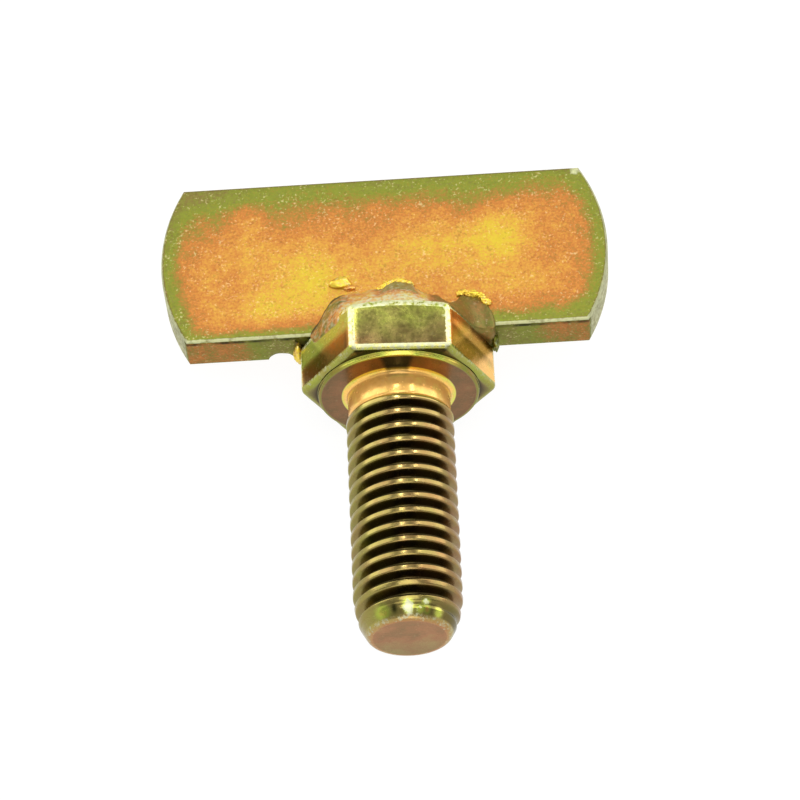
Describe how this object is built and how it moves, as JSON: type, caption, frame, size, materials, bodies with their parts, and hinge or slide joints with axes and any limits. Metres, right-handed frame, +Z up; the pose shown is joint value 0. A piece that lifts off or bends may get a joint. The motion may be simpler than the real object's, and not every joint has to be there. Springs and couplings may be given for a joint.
{
  "type": "thumb bolt",
  "caption": "Hexagon-head bolt with a flat bar welded on edge across its head, so that it can be turned by hand; yellow zinc plated.",
  "frame": {"origin": "on the bolt's axis, in the plane of the bearing face under the head", "axes": "+Z up as the bolt lies on one flat of its head, +Y along the axis to the plate, -Y to the tip, +X along the plate"},
  "size_m": [0.0502, 0.0569, 0.0188],
  "materials": {
    "bolt_zinc": "yellow passivated zinc plate, semi-bright",
    "plate_zinc": "yellow passivated zinc plate, orange with a green rim",
    "weld_zinc": "yellow passivated zinc plate over rough weld metal"
  },
  "bodies": {
    "root": {"hex_bolt": "bolt_zinc", "thumb_plate": "plate_zinc", "front_weld": "weld_zinc", "rear_weld": "weld_zinc"}
  },
  "joints": []
}
